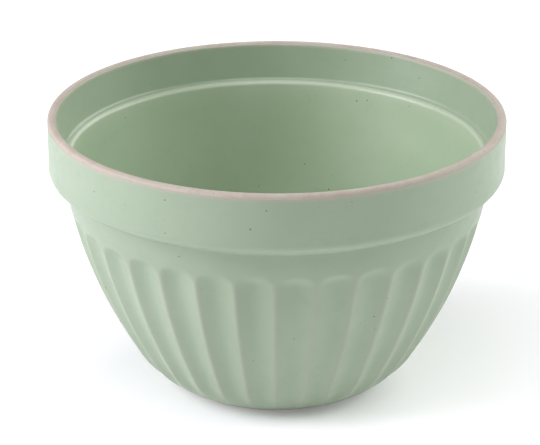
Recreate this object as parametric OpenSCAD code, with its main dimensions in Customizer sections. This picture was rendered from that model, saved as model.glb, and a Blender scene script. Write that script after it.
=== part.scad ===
// Stoneware mixing bowl with a deep plain collar and a fluted wall.
// The bowl is one piece of fired clay. Three coats of glaze are fused to it: one
// outside, one inside and one in the hollow of the foot. The lip and the ring that
// the bowl rests on are bare clay. Millimetres, +Z up, and the origin is the centre
// of the ring on the plane that it rests on.

/* [Overall size] */
// Outer diameter of the collar
rim_d = 240; // [236:1:244]
// Height from the resting plane to the top of the lip
bowl_h = 147; // [145:1:149]
// Wall thickness, glaze included
wall_t = 6; // [5.5:0.1:6.5]
// Thickness of each coat of glaze
glaze_t = 0.45; // [0.35:0.05:0.55]

/* [Lip and collar] */
// Thickness of the lip at its top
lip_w = 4.6; // [4.4:0.1:5]
// Rounding on the outer side of the lip
lip_outer_r = 2.1; // [1.8:0.1:2.2]
// Rounding on the inner side of the lip
lip_inner_r = 2; // [1.7:0.1:2.1]
// Height of the upright outer face of the collar
collar_face_h = 27; // [26:0.5:28]
// Rounding of the collar's lower edge
collar_edge_r = 5; // [4.5:0.1:5.5]
// Distance that the collar stands out from the wall
collar_step = 8; // [7.5:0.1:8.5]
// Fillet in the crease between the collar and the wall
crease_r = 1.2; // [1:0.1:1.5]
// Depth of the inner ledge below the top of the lip
ledge_drop = 20.6; // [19.5:0.1:21.5]
// Radius of the corner above the ledge
ledge_corner_r = 2; // [1.6:0.1:2.2]
// Radius of the ledge's inner edge
ledge_edge_r = 2.4; // [2:0.1:2.5]
// Inward lean of the collar's inner face, in degrees
collar_draft = 10.8; // [10.4:0.1:11]

/* [Wall and foot] */
// Lean of the outer wall from upright where it leaves the collar, in degrees
wall_lean = 9.7; // [9.3:0.1:10]
// Radius of the wall's long curve, seen in section
wall_arc_r = 258; // [252:1:264]
// Height at which the long curve hands over to the tighter heel curve
heel_h = 21; // [20:0.5:22]
// Lean of the heel from upright where the foot's rounding begins, in degrees
foot_lean = 63.7; // [62:0.1:65]
// Rounding between the heel and the resting ring
foot_edge_r = 7.2; // [6.5:0.1:7.8]
// Width of the flat ring that the bowl rests on
foot_ring_w = 6.5; // [6:0.1:7]
// Height of the hollow inside the foot ring
recess_h = 2.5; // [2:0.1:3]
// Height of the inside floor above the resting plane
floor_h = 9; // [8.5:0.1:9.5]
// Radius of the curve between the inside floor and the inside wall
floor_corner_r = 45; // [43:1:47]

/* [Flutes] */
// Number of flutes round the wall
flute_count = 33; // [32:1:34]
// Distance from the top of the lip to the top of the flutes
flute_drop = 47.4; // [46.5:0.1:48.5]
// Radius of a flute's hollow, seen across it
flute_hollow_r = 25; // [24:1:27]
// Radius of the arch at the top of each flute
flute_arch_r = 11.5; // [11:0.1:12]
// Width of the ridge left between two flutes
ridge_w = 1.6; // [1.4:0.1:1.8]

/* [Glaze lines] */
// Width of the bare band down the outer side of the lip
bare_outer = 1.8; // [1.6:0.1:2.4]
// Width of the bare band down the inner side of the lip
bare_inner = 1.8; // [1.8:0.1:2.1]
// Distance from the edge of the resting flat out to the outer coat
bare_foot = 4; // [3.5:0.1:4.5]

/* [Hidden] */

// Facets of small rounds, of a flute's hollow, of the turned shapes and of long curves.
$fn = 128;
hollow_fn = 256;
turned_fn = 256;
groove_fn = 512;
long_fn = 720;

clay_colour = [0.80, 0.74, 0.67];
glaze_colour = [0.61, 0.70, 0.59];

rim_r = rim_d / 2;

// Collar: a quarter-round lower edge that turns under by collar_turn, then a straight
// underside that meets the wall.
collar_turn = 60;
collar_face_z = bowl_h - collar_face_h;
collar_edge_c = [rim_r - collar_edge_r, collar_face_z];
under_n = [cos(collar_turn), -sin(collar_turn)];
under_dir = [-sin(collar_turn), -cos(collar_turn)];
under_start = collar_edge_c + collar_edge_r * under_n;
wall_top_r = rim_r - collar_step;
crease = under_start + under_dir * (under_start.x - wall_top_r) / sin(collar_turn);

// Wall: a long curve from the crease down to the heel, a tighter heel curve, and the
// foot's rounding, each tangent to the next. Angles are measured down from level.
wall_c = [wall_top_r - wall_arc_r * cos(wall_lean), crease.y + wall_arc_r * sin(wall_lean)];
heel_a = asin((wall_c.y - heel_h) / wall_arc_r);
heel_fall = wall_c.y - wall_arc_r * sin(heel_a) - foot_edge_r * (1 - sin(foot_lean));
heel_arc_r = heel_fall / (sin(foot_lean) - sin(heel_a));
heel_c = wall_c + (wall_arc_r - heel_arc_r) * down(heel_a);
foot_c = heel_c + (heel_arc_r - foot_edge_r) * down(foot_lean);

// Crease fillet: a circle that touches the collar's underside and the wall.
crease_arc_r = wall_arc_r + crease_r;
crease_reach = under_n * (under_start - wall_c) + crease_r;
crease_a = collar_turn - acos(crease_reach / crease_arc_r);
crease_c = wall_c + crease_arc_r * down(crease_a);

// Inside: a leaning collar face, a level ledge, a wall that follows the outer one, and
// a floor that a single curve joins to it.
inner_arc_r = wall_arc_r - wall_t;
ledge_z = bowl_h - ledge_drop;
lip_outer_c = [rim_r - lip_outer_r, bowl_h - lip_outer_r];
lip_inner_c = [rim_r - lip_w + lip_inner_r, bowl_h - lip_inner_r];
lip_touch = lip_inner_c - lip_inner_r * down(collar_draft);
ledge_r = lip_touch.x - (lip_touch.y - ledge_z) * tan(collar_draft);
corner_in = ledge_corner_r * (1 / cos(collar_draft) - tan(collar_draft));
ledge_corner_c = [ledge_r - corner_in, ledge_z + ledge_corner_r];
ledge_edge_z = ledge_z - ledge_edge_r;
ledge_edge_c = [arc_r(inner_arc_r + ledge_edge_r, ledge_edge_z), ledge_edge_z];
ledge_edge_a = asin((wall_c.y - ledge_edge_z) / (inner_arc_r + ledge_edge_r));
floor_corner_z = floor_h + floor_corner_r;
floor_corner_c = [arc_r(inner_arc_r - floor_corner_r, floor_corner_z), floor_corner_z];
floor_a = asin((wall_c.y - floor_corner_z) / (inner_arc_r - floor_corner_r));

// Foot: the hollow inside the resting ring, its corner, and the bare band up its side.
recess_r = foot_c.x - foot_ring_w;
recess_corner_r = 1.8;
recess_bare_h = 0.6;
recess_corner_c = [recess_r - recess_corner_r, recess_h - recess_corner_r];

// Flutes: each is a round-bottomed groove that follows a slightly lower curve than the
// wall's, so that it shallows towards the foot as the flutes crowd together.
flute_pitch = 360 / flute_count;
flute_top_a = asin((wall_c.y - bowl_h + flute_drop) / wall_arc_r);
arch_a = flute_top_a + flute_arch_r / wall_arc_r * 180 / PI;
flute_depth_top = flute_depth(wall_c.x + wall_arc_r * cos(arch_a));
flute_depth_heel = flute_depth(wall_c.x + wall_arc_r * cos(heel_a));
path_shift = (flute_depth_heel - flute_depth_top) / (sin(heel_a) - sin(arch_a));
path_r = wall_arc_r - flute_depth_top + path_shift * sin(arch_a);

// A groove starts above the arch and ends below the place where it has run out. It is
// cut as far out as the wall reaches, and a hair narrower than its share of the wall.
groove_start_a = flute_top_a - 1;
groove_end_a = 47;
groove_reach = flute_depth_top + 2.5;
arch_bar_l = 60;
sector_gap = 0.025;

// How far an area runs on past what it fills or cuts, where its end doesn't matter.
slack = 1;
past_wall = 3 * collar_step;
// Thickness of the shell that the outer coat is taken from, more than the flutes' depth.
shell_t = 3.8;

// Unit vector at an angle below level, in the section plane.
function down(a) = [cos(a), -sin(a)];

// Radius from the axis at height z of a circle drawn about the wall's centre.
function arc_r(r, z) = wall_c.x + sqrt(r * r - (wall_c.y - z) * (wall_c.y - z));

// Depth of an arc of radius r below its chord, for half a chord h.
function sagitta(r, h) = r - sqrt(r * r - h * h);

// Depth of a flute that leaves ridge_w between neighbours where the wall's radius is r.
function half_chord(r) = r * sin(flute_pitch / 2) - ridge_w / 2;
function flute_depth(r) = sagitta(flute_hollow_r, half_chord(r)) + sagitta(r, half_chord(r));

// What lies beyond a circle between two directions, out to reach from its centre.
module beyond(centre, r, from_a, to_a, reach) {
    mid_a = (from_a + to_a) / 2;
    difference() {
        polygon([centre, centre + reach * down(from_a), centre + 1.5 * reach * down(mid_a),
                 centre + reach * down(to_a)]);
        translate(centre) circle(r, $fn = long_fn);
    }
}

// The space under the collar, beside the wall, with the crease rounded.
module beside_wall(inset) {
    tip = collar_edge_c + (collar_edge_r - inset) * under_n;
    out = tip - under_dir * past_wall;
    root = tip + under_dir * past_wall;
    difference() {
        polygon([root, out, [rim_d, out.y], [rim_d, -slack], [recess_r, -slack]]);
        translate(wall_c) circle(wall_arc_r - inset, $fn = long_fn);
        beyond(crease_c, crease_r + inset, crease_a - 180, collar_turn - 180, 2 * collar_step);
    }
}

// Section of the bowl's outside, filled past the axis and drawn inset from its face.
module outside_area(inset) {
    difference() {
        translate([-slack, inset]) square([rim_r - inset + slack, bowl_h + slack - inset]);
        beside_wall(inset);
        beyond(collar_edge_c, collar_edge_r - inset, 0, collar_turn, 2 * collar_edge_r);
        beyond(heel_c, heel_arc_r - inset, heel_a, 90, 2 * heel_arc_r);
        beyond(foot_c, foot_edge_r - inset, foot_lean, 90, 2 * foot_edge_r);
    }
}

// Section of the space inside the bowl, grown into the clay by grow.
module inside_area(grow) {
    ledge_plane = ledge_z - grow;
    edge_r = ledge_edge_r - grow;
    top_z = bowl_h + slack;
    face_r = ledge_r + grow / cos(collar_draft);
    // Collar face above the ledge, with its rounded lower corner.
    difference() {
        polygon([[-slack, ledge_plane], [face_r - grow * tan(collar_draft), ledge_plane],
                 [face_r + (top_z - ledge_z) * tan(collar_draft), top_z], [-slack, top_z]]);
        beyond(ledge_corner_c, ledge_corner_r + grow, collar_draft, 90, 4 * ledge_corner_r);
    }
    // Rounded inner edge of the ledge.
    difference() {
        polygon([ledge_edge_c - 3 * ledge_edge_r * down(ledge_edge_a), ledge_edge_c,
                 [ledge_edge_c.x, ledge_z + slack],
                 [ledge_edge_c.x - 3 * ledge_edge_r, ledge_z + slack]]);
        translate(ledge_edge_c) circle(edge_r);
    }
    // Wall, curve and floor.
    difference() {
        intersection() {
            translate(wall_c) circle(inner_arc_r + grow, $fn = long_fn);
            translate([-slack, floor_h - grow])
                square([rim_d, ledge_z + slack - floor_h + grow]);
        }
        beyond(floor_corner_c, floor_corner_r + grow, floor_a, 90, 2 * floor_corner_r);
    }
}

// Section of the hollow inside the foot ring, grown into the clay by grow.
module recess_area(grow) {
    difference() {
        translate([-slack, -slack]) square([recess_r + grow + slack, recess_h + grow + slack]);
        beyond(recess_corner_c, recess_corner_r + grow, -90, 0, 3 * recess_corner_r);
    }
}

// What the rounding on the outer side of the lip takes off.
module lip_rounding() {
    beyond(lip_outer_c, lip_outer_r, -90, 0, 2 * lip_outer_r);
}

// Section of the clay before it is fluted.
module clay_area() {
    intersection() {
        square([rim_d, bowl_h]);
        difference() {
            union() {
                outside_area(glaze_t);
                intersection() {
                    outside_area(0);
                    union() {
                        translate([rim_r - lip_w, bowl_h - bare_outer]) square(2 * lip_w);
                        translate([recess_r - slack, -slack])
                            square([foot_c.x + bare_foot - recess_r + slack, foot_edge_r]);
                    }
                }
            }
            intersection() {
                inside_area(glaze_t);
                translate([-slack, 0]) square([rim_d, bowl_h - bare_inner]);
            }
            inside_area(0);
            recess_area(0);
            intersection() {
                recess_area(glaze_t);
                translate([-slack, recess_bare_h]) square([rim_d, recess_h]);
            }
            lip_rounding();
            beyond(lip_inner_c, lip_inner_r, collar_draft - 180, -90, 3 * lip_inner_r);
        }
    }
}

// The groove of one flute along +X, before its upper end is arched.
module flute_groove(grow) {
    centre_x = path_r + flute_hollow_r;
    translate([wall_c.x, 0, wall_c.y + path_shift])
        rotate([90, 0, 0])
            rotate_extrude(start = -groove_end_a, angle = groove_end_a - groove_start_a, $fn = groove_fn)
                intersection() {
                    translate([centre_x, 0]) circle(flute_hollow_r + grow, $fn = hollow_fn);
                    translate([path_r - slack, -flute_hollow_r])
                        square([groove_reach + slack, 2 * flute_hollow_r]);
                }
}

// A long bar with one round end, square to the wall, that arches the flute's upper end.
module flute_arch(grow) {
    r = flute_arch_r + grow;
    translate([wall_c.x, 0, wall_c.y])
        rotate([0, 90 + arch_a, 0])
            translate([0, 0, wall_arc_r - arch_bar_l])
                linear_extrude(arch_bar_l + groove_reach) {
                    circle(r);
                    translate([0, -r]) square([bowl_h, 2 * r]);
                }
}

// The sector of the bowl that one flute may take up.
module flute_sector() {
    half = tan(flute_pitch / 2 - sector_gap);
    linear_extrude(bowl_h)
        polygon([[recess_r, -recess_r * half], [rim_r, -rim_r * half],
                 [rim_r, rim_r * half], [recess_r, recess_r * half]]);
}

// Every flute as a cutter. A ridge, not a flute, faces the front at -Y.
module flutes(grow) {
    for (i = [0 : flute_count - 1])
        rotate([0, 0, -90 + (i + 0.5) * flute_pitch])
            intersection() {
                flute_groove(grow);
                flute_arch(grow);
                flute_sector();
            }
}

module clay() {
    difference() {
        rotate_extrude($fn = turned_fn) clay_area();
        flutes(glaze_t);
    }
}

// Fired clay body, bare at the lip and under the foot.
module stoneware_body() {
    color(clay_colour) clay();
}

// Outer coat, from just below the lip to just above the resting ring.
module outer_glaze() {
    color(glaze_colour)
        difference() {
            rotate_extrude($fn = turned_fn)
                difference() {
                    intersection() {
                        outside_area(0);
                        translate([foot_c.x + bare_foot, 0]) square([rim_r, bowl_h - bare_outer]);
                    }
                    outside_area(shell_t);
                    lip_rounding();
                }
            flutes(0);
            clay();
        }
}

// Inner coat, from just inside the lip over the ledge to the floor.
module inner_glaze() {
    color(glaze_colour)
        rotate_extrude($fn = turned_fn)
            difference() {
                intersection() {
                    inside_area(glaze_t);
                    square([rim_r, bowl_h - bare_inner]);
                }
                inside_area(0);
            }
}

// Coat in the hollow of the foot.
module underside_glaze() {
    color(glaze_colour)
        rotate_extrude($fn = turned_fn)
            difference() {
                intersection() {
                    recess_area(glaze_t);
                    translate([0, recess_bare_h]) square([rim_r, bowl_h]);
                }
                recess_area(0);
            }
}

stoneware_body();
outer_glaze();
inner_glaze();
underside_glaze();
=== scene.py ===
"""A stoneware mixing bowl with a sage glaze, on a plain pale studio floor.

The bowl is four closed pieces: the clay body and the three coats of glaze on it. Each
piece takes the place of one CAD node, and is made from the bowl's section, which is
written below as lines and arcs in millimetres. A section point is (r, z), and a section
angle is in degrees below level, so down(0) points away from the axis and down(90) down.
"""

import math

import bpy
import numpy as np
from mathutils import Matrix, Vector


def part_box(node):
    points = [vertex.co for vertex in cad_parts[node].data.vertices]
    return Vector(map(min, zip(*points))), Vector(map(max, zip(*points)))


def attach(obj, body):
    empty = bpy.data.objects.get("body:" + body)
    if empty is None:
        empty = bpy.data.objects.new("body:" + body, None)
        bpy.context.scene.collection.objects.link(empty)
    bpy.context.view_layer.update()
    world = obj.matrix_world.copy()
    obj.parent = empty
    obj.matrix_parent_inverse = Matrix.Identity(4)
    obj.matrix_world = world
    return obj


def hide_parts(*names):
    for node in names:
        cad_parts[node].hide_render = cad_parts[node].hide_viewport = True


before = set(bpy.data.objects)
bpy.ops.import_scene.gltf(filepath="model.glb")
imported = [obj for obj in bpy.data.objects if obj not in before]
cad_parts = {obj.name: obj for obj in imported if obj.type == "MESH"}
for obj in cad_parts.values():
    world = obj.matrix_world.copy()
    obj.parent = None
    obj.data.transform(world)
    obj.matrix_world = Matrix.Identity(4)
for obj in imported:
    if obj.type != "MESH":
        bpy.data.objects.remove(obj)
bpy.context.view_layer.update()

MM = 0.001
SEED = 7

# ---------------------------------------------------------------- sizes, in millimetres

_, clay_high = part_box("stoneware_body")
RIM_R = clay_high.x / MM
BOWL_H = clay_high.z / MM

WALL_T = 6.0
GLAZE_T = 0.45

LIP_W = 4.6
LIP_OUTER_R = 2.1
LIP_INNER_R = 2.0
COLLAR_FACE_H = 27.0
COLLAR_EDGE_R = 5.0
COLLAR_TURN = 60.0
COLLAR_STEP = 8.0
CREASE_R = 1.2
LEDGE_DROP = 20.6
LEDGE_CORNER_R = 2.0
LEDGE_EDGE_R = 2.4
COLLAR_DRAFT = 10.8

WALL_LEAN = 9.7
WALL_ARC_R = 258.0
HEEL_H = 21.0
FOOT_LEAN = 63.7
FOOT_EDGE_R = 7.2
FOOT_RING_W = 6.5
RECESS_H = 2.5
RECESS_CORNER_R = 1.8
FLOOR_H = 9.0
FLOOR_CORNER_R = 45.0

FLUTES = 33
FLUTE_DROP = 47.4
FLUTE_DEPTH = 2.75
FLUTE_DEPTH_AT = 10.7
ARCH_RISE = 7.0
ARCH_POWER = 2.5
ARCH_STEP = 7.5
ARCH_ABOVE = 1.2
ARCH_BAND = 3.2
ARCH_BELOW = 55.0
RIDGE_SOFTNESS = 1.1
FLUTES_FADE_FROM = 17.0
FLUTES_FADE_TO = 5.0
TOP_JITTER = 0.22
DEPTH_JITTER = 0.035

BARE_OUTER = 1.8
BARE_INNER = 0.8
BARE_FOOT = 4.0
RECESS_BARE_H = 0.6
EDGE_WOBBLE = 0.35
EDGE_REACH = 8.0
EDGE_TAPER = 1.6
EDGE_BEAD = 0.07
BEAD_RISE = 0.35
BEAD_FULL = 0.5
BEAD_FALL = 2.0
RECESS_EDGE_REACH = 3.0
RECESS_WOBBLE = 0.4


# ---------------------------------------------------------------- the section's geometry


def down(angle):
    """Unit vector, or vectors, at an angle below level."""
    a = np.radians(angle)
    return np.stack([np.cos(a), -np.sin(a)], axis=-1)


def smooth(t):
    """0 below 0, 1 above 1 and a smooth rise between."""
    t = np.clip(t, 0.0, 1.0)
    return t * t * (3.0 - 2.0 * t)


class Line:
    """A straight stretch. side is 1 if the open air is on its right as it runs, or -1."""

    def __init__(self, start, end, side=1):
        self.start = np.array(start, float)
        self.run = np.array(end, float) - self.start
        self.length = math.hypot(*self.run)
        self.normal = side * np.array([-self.run[1], self.run[0]]) / self.length

    def at(self, s):
        points = self.start + np.multiply.outer(s / self.length, self.run)
        return points, np.broadcast_to(self.normal, points.shape)


class Arc:
    """A round stretch between two angles. hollow means that its centre is in the air."""

    def __init__(self, centre, radius, first, last, hollow=False):
        self.centre = np.array(centre, float)
        self.radius = radius
        self.first = first
        self.turn = last - first
        self.facing = -1.0 if hollow else 1.0
        self.length = radius * math.radians(abs(self.turn))

    def at(self, s):
        unit = down(self.first + self.turn * s / self.length)
        return self.centre + self.radius * unit, self.facing * unit


class Section:
    """Named stretches end to end. Places along it are distances s from its start."""

    SAMPLES = 2000

    def __init__(self, **stretches):
        self.stretches = stretches
        self.starts = {}
        self.length = 0.0
        for name, stretch in stretches.items():
            self.starts[name] = self.length
            self.length += stretch.length

    def start(self, name):
        return self.starts[name]

    def end(self, name):
        return self.starts[name] + self.stretches[name].length

    def at(self, s):
        """Points and outward normals, both (r, z), at an array of places."""
        s = np.clip(np.asarray(s, float), 0.0, self.length)
        points = np.zeros(s.shape + (2,))
        normals = np.zeros(s.shape + (2,))
        for name, stretch in self.stretches.items():
            here = (s >= self.start(name)) & (s <= self.end(name))
            points[here], normals[here] = stretch.at(s[here] - self.start(name))
        return points, normals

    def where_z(self, name, z):
        """The place at height z on one stretch."""
        s = np.linspace(self.start(name), self.end(name), self.SAMPLES)
        points, _ = self.at(s)
        order = np.argsort(points[:, 1])
        return float(np.interp(z, points[order, 1], s[order]))

    def places(self, gaps):
        """Places along the section, with each stretch divided evenly by its own gap."""
        out = [0.0]
        for name, stretch in self.stretches.items():
            steps = max(1, math.ceil(stretch.length / gaps[name]))
            ends = self.start(name) + stretch.length * np.arange(1, steps + 1) / steps
            out.extend(ends)
        return np.array(out)


def outside_section():
    """From the middle of the lip down over the collar, wall, heel and foot to the ring."""
    lip_c = (RIM_R - LIP_OUTER_R, BOWL_H - LIP_OUTER_R)
    edge_c = np.array([RIM_R - COLLAR_EDGE_R, BOWL_H - COLLAR_FACE_H])
    under_start = edge_c + COLLAR_EDGE_R * down(COLLAR_TURN)
    heel_c, heel_r, heel_a = heel()
    foot_c = heel_c + (heel_r - FOOT_EDGE_R) * down(FOOT_LEAN)
    reach = down(COLLAR_TURN) @ (under_start - wall_centre()) + CREASE_R
    crease_a = COLLAR_TURN - math.degrees(math.acos(reach / (WALL_ARC_R + CREASE_R)))
    crease_c = wall_centre() + (WALL_ARC_R + CREASE_R) * down(crease_a)
    under_end = crease_c - CREASE_R * down(COLLAR_TURN)
    return Section(
        top=Line((RIM_R - LIP_W + LIP_INNER_R, BOWL_H), (lip_c[0], BOWL_H)),
        lip=Arc(lip_c, LIP_OUTER_R, -90.0, 0.0),
        face=Line((RIM_R, lip_c[1]), (RIM_R, edge_c[1])),
        edge=Arc(edge_c, COLLAR_EDGE_R, 0.0, COLLAR_TURN),
        under=Line(under_start, under_end),
        crease=Arc(crease_c, CREASE_R, COLLAR_TURN - 180.0, crease_a - 180.0, hollow=True),
        wall=Arc(wall_centre(), WALL_ARC_R, crease_a, heel_a),
        heel=Arc(heel_c, heel_r, heel_a, FOOT_LEAN),
        foot=Arc(foot_c, FOOT_EDGE_R, FOOT_LEAN, 90.0),
        ring=Line((foot_c[0], 0.0), (foot_c[0] - FOOT_RING_W, 0.0)),
    )


def wall_centre():
    """Centre of the wall's long curve."""
    edge_c = np.array([RIM_R - COLLAR_EDGE_R, BOWL_H - COLLAR_FACE_H])
    under_start = edge_c + COLLAR_EDGE_R * down(COLLAR_TURN)
    wall_top_r = RIM_R - COLLAR_STEP
    fall = (under_start[0] - wall_top_r) / math.tan(math.radians(COLLAR_TURN))
    corner = np.array([wall_top_r, under_start[1] - fall])
    return corner - WALL_ARC_R * down(WALL_LEAN)


def heel():
    """Centre, radius and first angle of the tighter curve between the wall and the foot."""
    centre = wall_centre()
    first = math.degrees(math.asin((centre[1] - HEEL_H) / WALL_ARC_R))
    sin_first = math.sin(math.radians(first))
    sin_last = math.sin(math.radians(FOOT_LEAN))
    fall = centre[1] - WALL_ARC_R * sin_first - FOOT_EDGE_R * (1.0 - sin_last)
    radius = fall / (sin_last - sin_first)
    return centre + (WALL_ARC_R - radius) * down(first), radius, first


def inside_section():
    """From the middle of the lip down the collar, over the ledge, to the floor's centre."""
    centre = wall_centre()
    arc_r = WALL_ARC_R - WALL_T
    ledge_z = BOWL_H - LEDGE_DROP
    draft = math.radians(COLLAR_DRAFT)
    lip_c = np.array([RIM_R - LIP_W + LIP_INNER_R, BOWL_H - LIP_INNER_R])
    lip_end = lip_c - LIP_INNER_R * down(COLLAR_DRAFT)
    ledge_r = lip_end[0] - (lip_end[1] - ledge_z) * math.tan(draft)
    corner_in = LEDGE_CORNER_R * (1.0 / math.cos(draft) - math.tan(draft))
    corner_c = np.array([ledge_r - corner_in, ledge_z + LEDGE_CORNER_R])
    edge_z = ledge_z - LEDGE_EDGE_R
    edge_c = point_on(centre, arc_r + LEDGE_EDGE_R, edge_z)
    edge_a = math.degrees(math.asin((centre[1] - edge_z) / (arc_r + LEDGE_EDGE_R)))
    floor_c = point_on(centre, arc_r - FLOOR_CORNER_R, FLOOR_H + FLOOR_CORNER_R)
    floor_a = math.degrees(math.asin((centre[1] - floor_c[1]) / (arc_r - FLOOR_CORNER_R)))
    return Section(
        lip=Arc(lip_c, LIP_INNER_R, -90.0, COLLAR_DRAFT - 180.0),
        face=Line(lip_end, corner_c + LEDGE_CORNER_R * down(COLLAR_DRAFT), side=-1),
        corner=Arc(corner_c, LEDGE_CORNER_R, COLLAR_DRAFT, 90.0, hollow=True),
        ledge=Line((corner_c[0], ledge_z), (edge_c[0], ledge_z), side=-1),
        edge=Arc(edge_c, LEDGE_EDGE_R, -90.0, edge_a - 180.0),
        wall=Arc(centre, arc_r, edge_a, floor_a, hollow=True),
        heel=Arc(floor_c, FLOOR_CORNER_R, floor_a, 90.0, hollow=True),
        floor=Line((floor_c[0], FLOOR_H), (0.0, FLOOR_H), side=-1),
    )


def point_on(centre, radius, z):
    """The point at height z on the outer side of a circle in the section."""
    return np.array([centre[0] + math.sqrt(radius**2 - (centre[1] - z) ** 2), z])


def recess_section():
    """From the ring's inner edge up and over to the middle of the hollow in the foot."""
    ring_r = OUTSIDE.at(OUTSIDE.length)[0][0]
    corner_c = (ring_r - RECESS_CORNER_R, RECESS_H - RECESS_CORNER_R)
    return Section(
        side=Line((ring_r, 0.0), (ring_r, corner_c[1])),
        corner=Arc(corner_c, RECESS_CORNER_R, 0.0, -90.0, hollow=True),
        roof=Line((corner_c[0], RECESS_H), (0.0, RECESS_H)),
    )


OUTSIDE = outside_section()
INSIDE = inside_section()
RECESS = recess_section()

# Where the coats end: below the lip outside and inside, and above the foot ring.
TOP_LINE = OUTSIDE.where_z("lip", BOWL_H - BARE_OUTER)
INNER_LINE = INSIDE.where_z("lip", BOWL_H - BARE_INNER)
FOOT_LINE = OUTSIDE.start("ring") - BARE_FOOT


# ---------------------------------------------------------------- small irregularities

PITCH = 2.0 * math.pi / FLUTES

# One seed for each irregularity, so that changing one leaves the others as they are.
DRIFT_SEED = SEED + 5
SWELL_SEED = SEED + 6
TOP_EDGE_SEED = SEED + 10
FOOT_EDGE_SEED = SEED + 20
INNER_EDGE_SEED = SEED + 30
RECESS_EDGE_SEED = SEED + 40

# Waves round the bowl in each ripple.
SLOW_WAVES = (3, 7, 11, 19)
QUICK_WAVES = (37, 53, 71, 97, 131)
DRIFT_WAVES = (1, 2, 3)
SWELL_WAVES = (2, 5, 9)

# Turning marks: depths in millimetres, and rates in radians per millimetre of height.
FINE_RING, FINE_RATE = 0.018, 2.9
BROAD_RING, BROAD_RATE = 0.014, 1.31
SWELL, SWELL_RATE = 0.05, 0.21
RING_DRIFT = 0.5
MARKS_FROM_H = 3.0
MARKS_RISE = 6.0
MARKS_FADE = 4.0
MARKS_AXIS_R = 30.0
INNER_MARKS_TURN = 1.0


def ripple(theta, waves, seed):
    """A smooth, repeatable wave round the bowl, between about -1 and 1."""
    phases = np.random.default_rng(seed).uniform(0.0, 2.0 * math.pi, len(waves))
    total = sum(np.sin(n * theta + phase) for n, phase in zip(waves, phases))
    return total / math.sqrt(2.0 * len(waves))


def edge_wobble(theta, seed):
    """How far a hand-wiped glaze edge strays from its line."""
    slow = ripple(theta, SLOW_WAVES, seed)
    quick = ripple(theta, QUICK_WAVES, seed + 1)
    return EDGE_WOBBLE * (0.6 * slow + 0.4 * quick)


def turning_marks(theta, height):
    """Faint rings and hollows that the potter's tool left, as an offset of the surface."""
    clear_of_foot = smooth((height - MARKS_FROM_H) / MARKS_RISE)
    drift = RING_DRIFT * ripple(theta, DRIFT_WAVES, DRIFT_SEED)
    fine = FINE_RING * np.sin((height + drift) * FINE_RATE)
    broad = BROAD_RING * np.sin((height - drift) * BROAD_RATE)
    swell = SWELL * ripple(theta, SWELL_WAVES, SWELL_SEED) * np.sin(height * SWELL_RATE)
    return clear_of_foot * (fine + broad + swell)


# ---------------------------------------------------------------- flutes

FLUTE_TOP = OUTSIDE.where_z("wall", BOWL_H - FLUTE_DROP)
FLUTES_FADE = OUTSIDE.where_z("heel", FLUTES_FADE_FROM)
FLUTES_END = OUTSIDE.where_z("heel", FLUTES_FADE_TO)

# Masks for the glaze: where it thins over a ridge and over an arch's brink.
RIDGE_MASK_W = 2.2
RIDGE_MASK_FROM = 2.0
RIDGE_MASK_RISE = 5.0
BRINK_MASK_W = 0.9
BRINK_SPREAD = 3.0


def flute_jitter():
    """Small seeded differences between the flutes: of the top's place and of the depth."""
    rng = np.random.default_rng(SEED)
    top = rng.normal(0.0, TOP_JITTER, FLUTES)
    depth = rng.normal(1.0, DEPTH_JITTER, FLUTES)
    return {"top": top, "depth": depth}


FLUTE_JITTER = flute_jitter()


def flute_place(theta):
    """Which flute each angle is in, and how far across it from its middle, -1 to 1."""
    turns = (theta + math.pi / 2.0) / PITCH
    index = np.floor(turns).astype(int)
    return index % FLUTES, 2.0 * (turns - index) - 1.0


def arch_drop(across):
    """How far a flute's rounded top lies below its highest point."""
    rest = np.clip(1.0 - np.abs(across) ** ARCH_POWER, 0.0, 1.0)
    return ARCH_RISE * (1.0 - rest ** (1.0 / ARCH_POWER))


def flutes_at(theta, s):
    """Depth of the flutes, and how close to a ridge or an arch's brink each place is."""
    index, across = flute_place(theta)
    points, _ = OUTSIDE.at(s)
    half = points[..., 0] * PITCH / 2.0
    from_ridge = half * (1.0 - np.abs(across))
    eased = np.sqrt(from_ridge**2 + RIDGE_SOFTNESS**2) - RIDGE_SOFTNESS
    part = np.clip(eased / half, 0.0, 1.0)
    hollow = FLUTE_DEPTH * half / FLUTE_DEPTH_AT * part * (2.0 - part)
    top = FLUTE_TOP + FLUTE_JITTER["top"][index] + arch_drop(across)
    arch = smooth((s - top) / ARCH_STEP)
    fade = smooth((FLUTES_END - s) / (FLUTES_END - FLUTES_FADE))
    depth = hollow * arch * fade * FLUTE_JITTER["depth"][index]
    started = smooth((s - FLUTE_TOP - RIDGE_MASK_FROM) / RIDGE_MASK_RISE)
    ridge = np.exp(-((from_ridge / RIDGE_MASK_W) ** 2)) * started * fade
    brink = np.exp(-(((s - top) / BRINK_MASK_W) ** 2)) * smooth(part * BRINK_SPREAD)
    return depth, ridge, brink


def follow_arches(theta, s):
    """Shifts the rows of places near the arches so that they run along each arch."""
    index, across = flute_place(theta)
    first = OUTSIDE.start("wall")
    above = np.clip((s - first) / (FLUTE_TOP - ARCH_ABOVE - first), 0.0, 1.0)
    low = FLUTE_TOP + ARCH_BAND
    below = np.clip((low + ARCH_BELOW - s) / ARCH_BELOW, 0.0, 1.0)
    return s + (arch_drop(across) + FLUTE_JITTER["top"][index]) * np.minimum(above, below)


# ---------------------------------------------------------------- surfaces


def revolve(theta, points):
    """Section points (r, z) turned to the angles theta, in metres."""
    radius, height = points[..., 0], points[..., 1]
    return MM * np.stack([radius * np.cos(theta), radius * np.sin(theta), height], axis=-1)


def spread(theta, places):
    """A grid of angles and one of places: a row for each place, a column for each angle."""
    return np.meshgrid(theta, places)


def past_top_edge(theta, s):
    """Distance of each outer place below the coat's wavy upper edge."""
    return s - TOP_LINE - edge_wobble(theta, TOP_EDGE_SEED)


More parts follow.
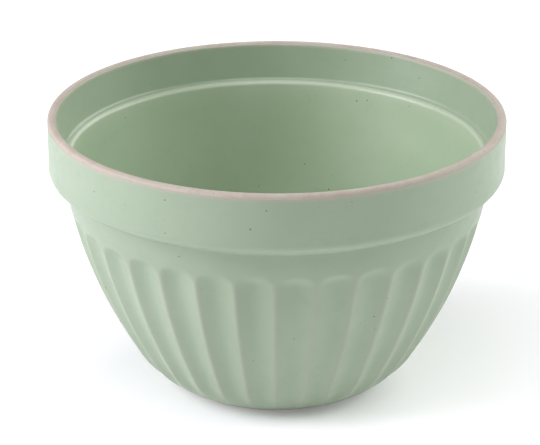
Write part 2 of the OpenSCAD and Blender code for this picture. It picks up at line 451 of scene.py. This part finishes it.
def above_foot_edge(theta, s):
    """Distance of each outer place above the coat's wavy lower edge."""
    return FOOT_LINE + edge_wobble(theta, FOOT_EDGE_SEED) - s


def past_inner_edge(theta, s):
    """Distance of each inner place below the inner coat's wavy upper edge."""
    return s - INNER_LINE - edge_wobble(theta, INNER_EDGE_SEED)


def recess_wobble(theta):
    """How far the edge in the foot's hollow strays, nearly always up from its line."""
    return RECESS_WOBBLE * EDGE_WOBBLE + RECESS_WOBBLE * edge_wobble(theta, RECESS_EDGE_SEED)


def past_recess_edge(theta, s):
    """Distance of each place in the foot's hollow past that coat's wavy edge."""
    return s - RECESS_BARE_H - recess_wobble(theta)


def nearness(distance, reach):
    """1 at an edge, falling smoothly to 0 at this reach from it."""
    return 1.0 - smooth(distance / reach)


def coat_depth(distance):
    """How deep the clay lies below the coat's face, at a distance in from its edge."""
    return GLAZE_T * smooth(distance / EDGE_TAPER)


def bead(distance):
    """The slight roll that glaze draws into along its edge."""
    rise = smooth(distance / BEAD_RISE)
    return EDGE_BEAD * rise * nearness(distance - BEAD_FULL, BEAD_FALL)


def outer_points(theta, s, clay):
    """Points of the outside, either the clay's face or the finished face of the coat."""
    points, normals = OUTSIDE.at(s)
    depth, _, _ = flutes_at(theta, s)
    below_lip = smooth((s - OUTSIDE.start("face")) / MARKS_FADE)
    inward = depth - turning_marks(theta, points[..., 1]) * below_lip
    inner = np.minimum(past_top_edge(theta, s), above_foot_edge(theta, s))
    inward += coat_depth(inner) if clay else -bead(inner)
    return revolve(theta, points - normals * inward[..., None])


def inner_points(theta, s, clay):
    """Points of the inside, either the clay's face or the finished face of the coat."""
    points, normals = INSIDE.at(s)
    inner = past_inner_edge(theta, s)
    below_lip = smooth((s - INSIDE.start("face")) / MARKS_FADE)
    marks = turning_marks(theta + INNER_MARKS_TURN, points[..., 1]) * below_lip
    marks = marks * smooth(points[..., 0] / MARKS_AXIS_R)
    inward = -marks + (coat_depth(inner) if clay else -bead(inner))
    return revolve(theta, points - normals * inward[..., None])


def recess_points(theta, s, clay):
    """Points of the hollow in the foot, either the clay's face or the coat's."""
    points, normals = RECESS.at(s)
    inner = past_recess_edge(theta, s)
    inward = coat_depth(inner) if clay else -bead(inner)
    return revolve(theta, points - normals * inward[..., None])


# ---------------------------------------------------------------- meshes

# Columns of points: for each flute where the piece has flutes, or round the whole bowl.
COAT_PER_FLUTE = 19
BODY_PER_FLUTE = 14
CROWDING = 0.6
INNER_COLUMNS = 384
RECESS_COLUMNS = 192

# Gaps between rows of points at the arches, on seen and on hidden faces.
ARCH_GAP = 0.42
ARCH_HIDDEN_GAP = 0.9

# How close a row may come to the first or last row, and to the axis.
ROW_MARGIN = 0.2
RECESS_ROW_MARGIN = 0.1
AXIS_MARGIN = 1.0

# Masks for the glaze, in millimetres from an edge and as shares of the full effect.
BRINK_SHARE = 0.25
# A painted highlight along the collar's lower edge, where its rounding catches light from the floor.
COLLAR_EDGE_HIGHLIGHT = 0.18
COLLAR_EDGE_HIGHLIGHT_ABOVE = 2.2
COLLAR_EDGE_HIGHLIGHT_W = 1.8
THIN_BEFORE = 0.3
THIN_W = 2.9
RECESS_THIN_W = 1.2
# The ledge's pale band: pale glaze over its edge with a painted highlight, and a faint tail of
# painted light down the wall.
LEDGE_HIGHLIGHT_BEFORE = 1.0
LEDGE_HIGHLIGHT_RISE = 1.5
LEDGE_HIGHLIGHT_PAST = 1.5
LEDGE_HIGHLIGHT_FALL = 2.5
LEDGE_LIGHT_TAIL = 0.3
LEDGE_LIGHT_TAIL_FALL = 14.0
RIM_PALE = 0.6
INSIDE_RISE = 4.0


def add_mesh(name, rings, masks, loop, clockwise=True):
    """One closed mesh through rings of points.

    loop joins the last ring to the first, and otherwise the first and last rings are
    closed with a point on the axis. clockwise says which way the rings run round the
    section, so that the faces point outwards.
    """
    rows, columns = rings.shape[:2]
    verts = rings.reshape(-1, 3)
    index = np.arange(rows * columns).reshape(rows, columns)
    upper = index if loop else index[:-1]
    lower = np.roll(index, -1, axis=0) if loop else index[1:]
    next_upper = np.roll(upper, -1, axis=1)
    next_lower = np.roll(lower, -1, axis=1)
    faces = np.stack([upper, lower, next_lower, next_upper], axis=-1).reshape(-1, 4).tolist()
    if not loop:
        middles = [rings[0].mean(axis=0), rings[-1].mean(axis=0)]
        verts = np.vstack([verts, middles])
        first, last = rows * columns, rows * columns + 1
        around = np.roll(index, -1, axis=1)
        faces += [[first, a, b] for a, b in zip(index[0].tolist(), around[0].tolist())]
        faces += [[last, b, a] for a, b in zip(index[-1].tolist(), around[-1].tolist())]
    if not clockwise:
        faces = [face[::-1] for face in faces]
    mesh = bpy.data.meshes.new(name)
    mesh.from_pydata(verts.tolist(), [], faces)
    mesh.polygons.foreach_set("use_smooth", [True] * len(mesh.polygons))
    for mask, values in masks.items():
        flat = np.zeros(len(verts), np.float32)
        flat[: values.size] = values.ravel()
        mesh.attributes.new(mask, "FLOAT", "POINT").data.foreach_set("value", flat)
    mesh.update()
    piece = bpy.data.objects.new(name, mesh)
    bpy.context.scene.collection.objects.link(piece)
    return piece


def flute_columns(per_flute):
    """Angles round the bowl, crowded towards the ridges between the flutes."""
    u = np.arange(per_flute) / per_flute
    u = u - CROWDING * np.sin(2.0 * math.pi * u) / (2.0 * math.pi)
    ridges = -math.pi / 2.0 + PITCH * np.arange(FLUTES)
    return (ridges[:, None] + PITCH * u).ravel()


def even_columns(count):
    """Evenly spaced angles round the bowl."""
    return 2.0 * math.pi * np.arange(count) / count


def outside_places(gaps, arch_gap, first, last):
    """Places down the outside between two others, closer together at the arches."""
    places = OUTSIDE.places(gaps)
    band = np.arange(-ARCH_ABOVE, ARCH_BAND, arch_gap) + FLUTE_TOP
    away = (places < band[0] - arch_gap) | (places > band[-1] + arch_gap)
    places = np.sort(np.concatenate([places[away], band]))
    inside = (places > first + ROW_MARGIN) & (places < last - ROW_MARGIN)
    return np.concatenate([[first], places[inside], [last]])


def edge_rows(places, depth=2.4, gap=0.3):
    """Extra places just in from the first one, where a coat's edge rolls over."""
    near = places[0] + np.arange(gap, depth, gap)
    return np.sort(np.concatenate([[places[0]], near, places[places > near[-1] + gap / 2]]))


def outer_coat_rows():
    """Rows of the outer coat's seen face, finer at both edges, and of its hidden face."""
    gaps = dict(top=1, lip=1, face=1.3, edge=0.6, under=0.8)
    gaps |= dict(crease=0.3, wall=2.6, heel=2.0, foot=0.9, ring=3)
    front = edge_rows(outside_places(gaps, ARCH_GAP, TOP_LINE, FOOT_LINE))
    front = FOOT_LINE - edge_rows(FOOT_LINE - front[::-1])[::-1]
    back_gaps = {name: 4.0 * gap for name, gap in gaps.items()} | {"crease": 0.7, "edge": 1.6}
    back = outside_places(back_gaps, ARCH_HIDDEN_GAP, TOP_LINE, FOOT_LINE)
    return front, back


def build_outer_coat():
    """The coat on the outside, from below the lip to above the foot ring."""
    theta = flute_columns(COAT_PER_FLUTE)
    front, back = outer_coat_rows()
    grid, rows = spread(theta, front)
    rows = shift_ends(grid, follow_arches(grid, rows), rows, front)
    face = outer_points(grid, rows, clay=False)
    back_grid, back_rows = spread(theta, back[-2:0:-1])
    back_rows = shift_ends(back_grid, follow_arches(back_grid, back_rows), back_rows, front)
    hidden = outer_points(back_grid, back_rows, clay=True)
    _, ridge, brink = flutes_at(grid, rows)
    # A painted highlight along the collar's lower edge.
    from_edge = rows - OUTSIDE.end("edge") + COLLAR_EDGE_HIGHLIGHT_ABOVE
    edge = np.exp(-((from_edge / COLLAR_EDGE_HIGHLIGHT_W) ** 2))
    brim = np.minimum(past_top_edge(grid, rows), above_foot_edge(grid, rows))
    masks = {
        "ridge": np.maximum(ridge, BRINK_SHARE * brink),
        "pale_glaze_and_highlight": COLLAR_EDGE_HIGHLIGHT * edge,
        "thin": nearness(brim + THIN_BEFORE, THIN_W),
    }
    return add_mesh("outer_coat", np.concatenate([face, hidden]), masks, loop=True)


def shift_ends(theta, rows, straight, front):
    """Moves the rows nearest a coat's two edges so that the edges are wavy."""
    at_top = nearness(straight - front[0], EDGE_REACH) * edge_wobble(theta, TOP_EDGE_SEED)
    at_foot = nearness(front[-1] - straight, EDGE_REACH) * edge_wobble(theta, FOOT_EDGE_SEED)
    return rows + at_top + at_foot


def wavy_inner_rows(theta, rows):
    """The inner coat's rows, moved near its edge so that the edge is wavy."""
    return rows + nearness(rows - INNER_LINE, EDGE_REACH) * edge_wobble(theta, INNER_EDGE_SEED)


def wavy_recess_rows(theta, rows):
    """The underside coat's rows, moved near its edge so that the edge is wavy."""
    return rows + nearness(rows - RECESS_BARE_H, RECESS_EDGE_REACH) * recess_wobble(theta)


def ledge_glaze_and_highlight(rows):
    """Where the ledge and its edge get pale glaze and a painted highlight, with a faint tail of
    painted light down the wall.
    """
    below_edge = rows - INSIDE.start("edge") - LEDGE_HIGHLIGHT_PAST
    painted_tail = LEDGE_LIGHT_TAIL * nearness(below_edge, LEDGE_LIGHT_TAIL_FALL)
    fade = np.maximum(nearness(below_edge, LEDGE_HIGHLIGHT_FALL), painted_tail)
    return smooth((rows - INSIDE.start("ledge") + LEDGE_HIGHLIGHT_BEFORE) / LEDGE_HIGHLIGHT_RISE) * fade


def build_inner_coat():
    """The coat on the inside, from below the lip over the ledge to the floor."""
    theta = even_columns(INNER_COLUMNS)
    gaps = dict(lip=0.4, face=1.3, corner=0.35, ledge=1.0, edge=0.4, wall=2.6, heel=2.4, floor=5.0)
    places = INSIDE.places(gaps)
    places = places[(places > INNER_LINE + ROW_MARGIN) & (places < INSIDE.length - AXIS_MARGIN)]
    front = edge_rows(np.concatenate([[INNER_LINE], places]))
    back = np.concatenate([front[2:-1:3], front[-1:]])
    grid, rows = spread(theta, front[::-1])
    rows = wavy_inner_rows(grid, rows)
    back_grid, back_rows = spread(theta, back)
    back_rows = wavy_inner_rows(back_grid, back_rows)
    face = inner_points(grid, rows, clay=False)
    hidden = inner_points(back_grid, back_rows, clay=True)
    thin = nearness(past_inner_edge(grid, rows) + THIN_BEFORE, THIN_W)
    masks = {
        "ridge": np.zeros(rows.shape),
        # Pale glaze at the rim, and pale glaze with a painted highlight on the ledge.
        "pale_glaze_and_highlight": np.maximum(ledge_glaze_and_highlight(rows), RIM_PALE * thin),
        "thin": thin,
        # Where the painted light below the ledge comes in.
        "inside": smooth((rows - INSIDE.start("edge")) / INSIDE_RISE),
    }
    return add_mesh("inner_coat", np.concatenate([face, hidden]), masks, loop=False)


def build_underside_coat():
    """The coat in the hollow of the foot."""
    theta = even_columns(RECESS_COLUMNS)
    places = RECESS.places(dict(side=0.2, corner=0.3, roof=3.0))
    past_edge = places > RECESS_BARE_H + RECESS_ROW_MARGIN
    short_of_axis = places < RECESS.length - AXIS_MARGIN
    front = np.concatenate([[RECESS_BARE_H], places[past_edge & short_of_axis]])
    grid, rows = spread(theta, front[::-1])
    rows = wavy_recess_rows(grid, rows)
    back_grid, back_rows = spread(theta, front[1:])
    back_rows = wavy_recess_rows(back_grid, back_rows)
    face = recess_points(grid, rows, clay=False)
    hidden = recess_points(back_grid, back_rows, clay=True)
    masks = {
        "ridge": np.zeros(rows.shape),
        "pale_glaze_and_highlight": np.zeros(rows.shape),
        "thin": nearness(past_recess_edge(grid, rows), RECESS_THIN_W),
    }
    rings = np.concatenate([face, hidden])
    return add_mesh("underside_coat", rings, masks, loop=False, clockwise=False)


def build_clay_body():
    """The fired clay, which shows at the lip and the foot ring."""
    theta = flute_columns(BODY_PER_FLUTE)
    recess_gaps = dict(side=0.3, corner=0.4, roof=6.0)
    outer_gaps = dict(top=0.5, lip=0.3, face=1.2, edge=1.0, under=1.2)
    outer_gaps |= dict(crease=0.4, wall=4.0, heel=3.0, foot=0.8, ring=1.1)
    inner_gaps = dict(lip=0.25, face=1.4, corner=0.6, ledge=1.5, edge=0.7)
    inner_gaps |= dict(wall=5.0, heel=4.0, floor=8.0)
    recess = RECESS.places(recess_gaps)[:-1]
    outer = outside_places(outer_gaps, ARCH_HIDDEN_GAP, 0.0, OUTSIDE.length)
    inner = INSIDE.places(inner_gaps)[:-1]
    recess_grid, recess_rows = spread(theta, recess[::-1])
    outer_grid, outer_rows = spread(theta, outer[::-1][1:])
    inner_grid, inner_rows = spread(theta, inner[1:])
    rings = np.concatenate([
        recess_points(recess_grid, recess_rows, clay=True),
        outer_points(outer_grid, follow_arches(outer_grid, outer_rows), clay=True),
        inner_points(inner_grid, inner_rows, clay=True),
    ])
    return add_mesh("clay_body", rings, {}, loop=False, clockwise=False)


# ---------------------------------------------------------------- materials


class Nodes:
    """Short names for building one material's node tree."""

    def __init__(self, name):
        self.material = bpy.data.materials.new(name)
        self.material.use_nodes = True
        self.tree = self.material.node_tree
        self.shader = self.tree.nodes["Principled BSDF"]
        self.place = self.tree.nodes.new("ShaderNodeTexCoord").outputs["Object"]

    def add(self, kind, values=None, **links):
        """Adds a node, sets its properties and inputs, and links what is a socket."""
        node = self.tree.nodes.new("ShaderNode" + kind)
        for key, value in (values or {}).items():
            setattr(node, key, value)
        for key, value in links.items():
            self.feed(node.inputs[key.replace("_", " ")], value)
        return node

    def feed(self, socket, value):
        if isinstance(value, bpy.types.NodeSocket):
            self.tree.links.new(value, socket)
        else:
            socket.default_value = value

    def math(self, operation, *inputs):
        node = self.tree.nodes.new("ShaderNodeMath")
        node.operation = operation
        for socket, value in zip(node.inputs, inputs):
            self.feed(socket, value)
        return node.outputs[0]

    def noise(self, feature_mm, detail=2.0, roughness=0.5):
        """Noise between 0 and 1 whose features are about this many millimetres across."""
        scale = 1.0 / (feature_mm * MM)
        values = dict(Vector=self.place, Scale=scale, Detail=detail, Roughness=roughness)
        return self.add("TexNoise", **values).outputs["Fac"]

    def ramp(self, value, low, high, out_low=0.0, out_high=1.0):
        """Maps value from low..high to out_low..out_high, smoothly and held at the ends."""
        node = self.add("MapRange", {"interpolation_type": "SMOOTHSTEP"}, Value=value)
        node.inputs["From Min"].default_value = low
        node.inputs["From Max"].default_value = high
        node.inputs["To Min"].default_value = out_low
        node.inputs["To Max"].default_value = out_high
        return node.outputs["Result"]

    def mix(self, factor, first, second, blend="MIX"):
        """Colour mixed from two colours or sockets."""
        node = self.tree.nodes.new("ShaderNodeMix")
        node.data_type = "RGBA"
        node.blend_type = blend
        self.feed(node.inputs["Factor"], factor)
        self.feed(node.inputs[6], first)
        self.feed(node.inputs[7], second)
        return node.outputs[2]

    def attribute(self, name):
        return self.add("Attribute", {"attribute_name": name}).outputs["Fac"]

    def bump(self, height, distance_mm, strength):
        node = self.add("Bump", Height=height, Distance=distance_mm * MM, Strength=strength)
        self.feed(self.shader.inputs["Normal"], node.outputs["Normal"])

    def specks(self, spacing_mm, radius_mm, share):
        """1 inside small round spots, scattered one to a cell in a share of the cells."""
        scale = 1.0 / (spacing_mm * MM)
        cells = self.add("TexVoronoi", Vector=self.place, Scale=scale, Randomness=1.0)
        chance = self.add("SeparateColor", Color=cells.outputs["Color"])
        size = self.math("MULTIPLY_ADD", chance.outputs["Green"], SPECK_SIZE_SPAN, SPECK_LEAST)
        reach = self.math("MULTIPLY", size, radius_mm / spacing_mm)
        edge = self.math("DIVIDE", cells.outputs["Distance"], reach)
        spot = self.ramp(edge, SPECK_CORE, 1.0, 1.0, 0.0)
        chosen = self.math("LESS_THAN", chance.outputs["Red"], share)
        return self.math("MULTIPLY", spot, chosen)


def linear(red, green, blue):
    """A display colour, 0 to 255, as the linear colour that a shader takes."""
    channels = [c / 255.0 for c in (red, green, blue)]
    return [c / 12.92 if c <= 0.04045 else ((c + 0.055) / 1.055) ** 2.4 for c in channels] + [1.0]


CLAY = linear(175, 164, 152)
CLAY_DARK = linear(163, 149, 137)
CREAM = linear(181, 173, 161)
SAGE = linear(147, 165, 140)
SAGE_DEEP = linear(142, 161, 135)
SAGE_PALE = linear(151, 168, 144)
# Pale glaze where it thins at edges, and the colour of painted highlights on the collar's edge and
# the ledge.
PALE_GLAZE_AND_HIGHLIGHT = linear(202, 212, 192)
IRON = linear(92, 74, 58)

# Painted light: glaze below the inner ledge is given a paler tone, fitted to how bright it looks,
# to stand in for light that the lamps leave short inside the bowl.
INSIDE_PAINTED_LIGHT = (1.19, 1.19, 1.16, 1.0)

# Shares of another colour that shows: clay over ridges, pale glaze and painted highlight at edges,
# iron in specks.
RIDGE_CLAY = 0.3
PALE_AND_HIGHLIGHT_SHARE = 0.45
CLAY_SPECK = 0.6
LARGE_SPECK = 0.75
SMALL_SPECK = 0.5

# A speck's least size and the span above it, as shares of its radius, and its dark core.
SPECK_LEAST = 0.5
SPECK_SIZE_SPAN = 0.7
SPECK_CORE = 0.6

# How much rougher the glaze is where it is thin.
THIN_ROUGHNESS = 0.25


def clay_material():
    """Bare stoneware: warm, matt and slightly grainy, with a few iron specks."""
    m = Nodes("bare_stoneware")
    broad = m.noise(14.0, detail=3.0)
    tone = m.mix(m.ramp(broad, 0.3, 0.7), CLAY, CREAM)
    mottle = m.noise(3.0, detail=3.0, roughness=0.6)
    tone = m.mix(m.ramp(mottle, 0.45, 0.8, 0.0, 0.55), tone, CLAY_DARK)
    specks = m.specks(spacing_mm=3.0, radius_mm=0.35, share=0.5)
    tone = m.mix(m.math("MULTIPLY", specks, CLAY_SPECK), tone, IRON)
    m.feed(m.shader.inputs["Base Color"], tone)
    m.feed(m.shader.inputs["Roughness"], m.ramp(m.noise(1.0), 0.3, 0.7, 0.62, 0.8))
    m.bump(m.noise(0.5, detail=4.0, roughness=0.65), distance_mm=0.06, strength=0.6)
    return m.material


def glaze_material():
    """Satin sage glaze that breaks to the clay's colour where it is thin, with painted highlights on
    the collar's edge and the ledge, and painted light inside.
    """
    m = Nodes("sage_glaze")
    broad = m.noise(38.0, detail=3.0)
    tone = m.mix(m.ramp(broad, 0.3, 0.7), SAGE, SAGE_PALE)
    mottle = m.noise(9.0, detail=4.0, roughness=0.6)
    tone = m.mix(m.ramp(mottle, 0.45, 0.8, 0.0, 0.5), tone, SAGE_DEEP)
    # Painted light: glaze below the inner ledge is made paler.
    tone = m.mix(m.attribute("inside"), tone, INSIDE_PAINTED_LIGHT, "MULTIPLY")
    patchy = m.ramp(m.noise(5.0, detail=4.0, roughness=0.65), 0.25, 0.75, 0.35, 1.0)
    ridge = m.math("MULTIPLY", m.math("MULTIPLY", m.attribute("ridge"), patchy), RIDGE_CLAY)
    tone = m.mix(ridge, tone, CLAY)
    uneven = m.ramp(m.noise(2.6, detail=3.0, roughness=0.6), 0.3, 0.6, 0.55, 1.0)
    brim = m.math("MULTIPLY", m.attribute("thin"), uneven)
    tone = m.mix(brim, tone, CLAY)
    # Pale glaze at the rim and ledge, painted highlight on the collar's edge and ledge, and painted
    # light down the wall below the ledge.
    edge = m.math("MULTIPLY", m.attribute("pale_glaze_and_highlight"), PALE_AND_HIGHLIGHT_SHARE)
    tone = m.mix(edge, tone, PALE_GLAZE_AND_HIGHLIGHT)
    large = m.specks(spacing_mm=7.0, radius_mm=0.55, share=0.45)
    tone = m.mix(m.math("MULTIPLY", large, LARGE_SPECK), tone, IRON)
    small = m.specks(spacing_mm=3.4, radius_mm=0.28, share=0.3)
    tone = m.mix(m.math("MULTIPLY", small, SMALL_SPECK), tone, IRON)
    m.feed(m.shader.inputs["Base Color"], tone)
    rough = m.ramp(m.noise(6.0, detail=3.0), 0.3, 0.7, 0.34, 0.42)
    m.feed(m.shader.inputs["Roughness"], m.math("MULTIPLY_ADD", brim, THIN_ROUGHNESS, rough))
    m.bump(m.noise(1.8, detail=3.0, roughness=0.55), distance_mm=0.05, strength=0.5)
    return m.material


# The floor's glow near the bowl and far off, and between which distances it changes.
FLOOR_GLOW_NEAR = 0.155
FLOOR_GLOW_FAR = 0.8
FLOOR_FAR_FROM = 1.0
FLOOR_FAR_TO = 2.2
FLOOR_WHITE = linear(244, 244, 246)
FLOOR_BRIGHT = linear(247, 247, 249)


def floor_material():
    """Plain white studio floor. Its glow keeps shadows light and the far floor white."""
    m = Nodes("studio_floor")
    m.feed(m.shader.inputs["Base Color"], m.mix(m.noise(400.0), FLOOR_WHITE, FLOOR_BRIGHT))
    m.feed(m.shader.inputs["Roughness"], 0.9)
    m.feed(m.shader.inputs["Specular IOR Level"], 0.1)
    m.feed(m.shader.inputs["Emission Color"], (1.0, 1.0, 1.0, 1.0))
    from_axis = m.add("VectorMath", {"operation": "LENGTH"}, Vector=m.place).outputs["Value"]
    glow = m.ramp(from_axis, FLOOR_FAR_FROM, FLOOR_FAR_TO, FLOOR_GLOW_NEAR, FLOOR_GLOW_FAR)
    m.feed(m.shader.inputs["Emission Strength"], glow)
    return m.material


# ---------------------------------------------------------------- assembly


def finish_piece(piece, node, material):
    """Gives a piece its material and puts it in the place of its CAD node."""
    piece.data.materials.append(material)
    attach(piece, "root")
    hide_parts(node)


clay = clay_material()
glaze = glaze_material()
finish_piece(build_clay_body(), "stoneware_body", clay)
finish_piece(build_outer_coat(), "outer_glaze", glaze)
finish_piece(build_inner_coat(), "inner_glaze", glaze)
finish_piece(build_underside_coat(), "underside_glaze", glaze)


# ---------------------------------------------------------------- studio

FLOOR_SIZE = 12.0


def add_floor():
    """A wide flat floor under the bowl."""
    half = FLOOR_SIZE / 2.0
    mesh = bpy.data.meshes.new("floor")
    corners = [(-half, -half, 0.0), (half, -half, 0.0), (half, half, 0.0), (-half, half, 0.0)]
    mesh.from_pydata(corners, [], [(0, 1, 2, 3)])
    floor = bpy.data.objects.new("floor", mesh)
    floor.data.materials.append(floor_material())
    bpy.context.scene.collection.objects.link(floor)


def add_softbox(name, place, size, power, colour):
    """A square soft light aimed at the bowl, with sides of size metres, in watts."""
    light = bpy.data.lights.new(name, "AREA")
    light.color = colour
    light.size = size
    light.energy = power
    lamp = bpy.data.objects.new(name, light)
    lamp.location = place
    lamp.rotation_euler = (Vector(BOWL_MIDDLE) - Vector(place)).to_track_quat("-Z", "Y").to_euler()
    bpy.context.scene.collection.objects.link(lamp)


def add_world(level):
    """Dim, even white surroundings."""
    world = bpy.data.worlds.new("studio")
    world.use_nodes = True
    background = world.node_tree.nodes["Background"]
    background.inputs["Color"].default_value = (1.0, 1.0, 1.0, 1.0)
    background.inputs["Strength"].default_value = level
    bpy.context.scene.world = world


CAMERA_AZIMUTH = 0.55
CAMERA_ELEVATION = 22.07
CAMERA_DISTANCE = 1.440
CAMERA_AIM_HEIGHT = 0.0844
CAMERA_ASIDE = 0.0036
CAMERA_LENS = 180.3
CAMERA_SENSOR = 36.0
CAMERA_NEAR = 0.05
CAMERA_FAR = 20.0


def add_camera():
    """The camera, a long lens a little above the bowl, aimed just left of its axis."""
    turn, tilt = math.radians(CAMERA_AZIMUTH), math.radians(CAMERA_ELEVATION)
    back = Vector((math.sin(turn) * math.cos(tilt), -math.cos(turn) * math.cos(tilt), math.sin(tilt)))
    right = Vector((math.cos(turn), math.sin(turn), 0.0))
    aim = Vector((0.0, 0.0, CAMERA_AIM_HEIGHT)) - CAMERA_ASIDE * right
    data = bpy.data.cameras.new("camera")
    data.lens = CAMERA_LENS
    data.sensor_width = CAMERA_SENSOR
    data.clip_start = CAMERA_NEAR
    data.clip_end = CAMERA_FAR
    camera = bpy.data.objects.new("camera", data)
    camera.location = aim + CAMERA_DISTANCE * back
    camera.rotation_euler = (-back).to_track_quat("-Z", "Y").to_euler()
    bpy.context.scene.collection.objects.link(camera)
    bpy.context.scene.camera = camera


WORLD_LEVEL = 0.01
BOWL_MIDDLE = (0.0, 0.0, BOWL_H * MM / 2.0)
KEY_TINT = (1.0, 0.965, 1.04)
WHITE = (1.0, 1.0, 1.0)

# Each softbox: its place and side in metres, its power in watts and its colour.
SOFTBOXES = {
    "key": ((-1.35, -0.36, 0.95), 1.1, 24.5, KEY_TINT),
    "key_low": ((-1.5, -0.1, 0.45), 0.9, 7.4, KEY_TINT),
    "fill": ((1.35, 0.5, 0.7), 1.0, 6.5, WHITE),
    "side": ((1.5, 0.0, 0.9), 0.9, 10.5, WHITE),
    "back": ((0.9, 1.2, 0.9), 1.0, 11.0, WHITE),
    "top": ((0.0, -0.6, 1.6), 1.2, 12.3, WHITE),
}

add_floor()
add_world(WORLD_LEVEL)
for softbox_name, (place, size, power, colour) in SOFTBOXES.items():
    add_softbox(softbox_name, place, size, power, colour)
add_camera()
bpy.context.scene.view_settings.view_transform = "Standard"
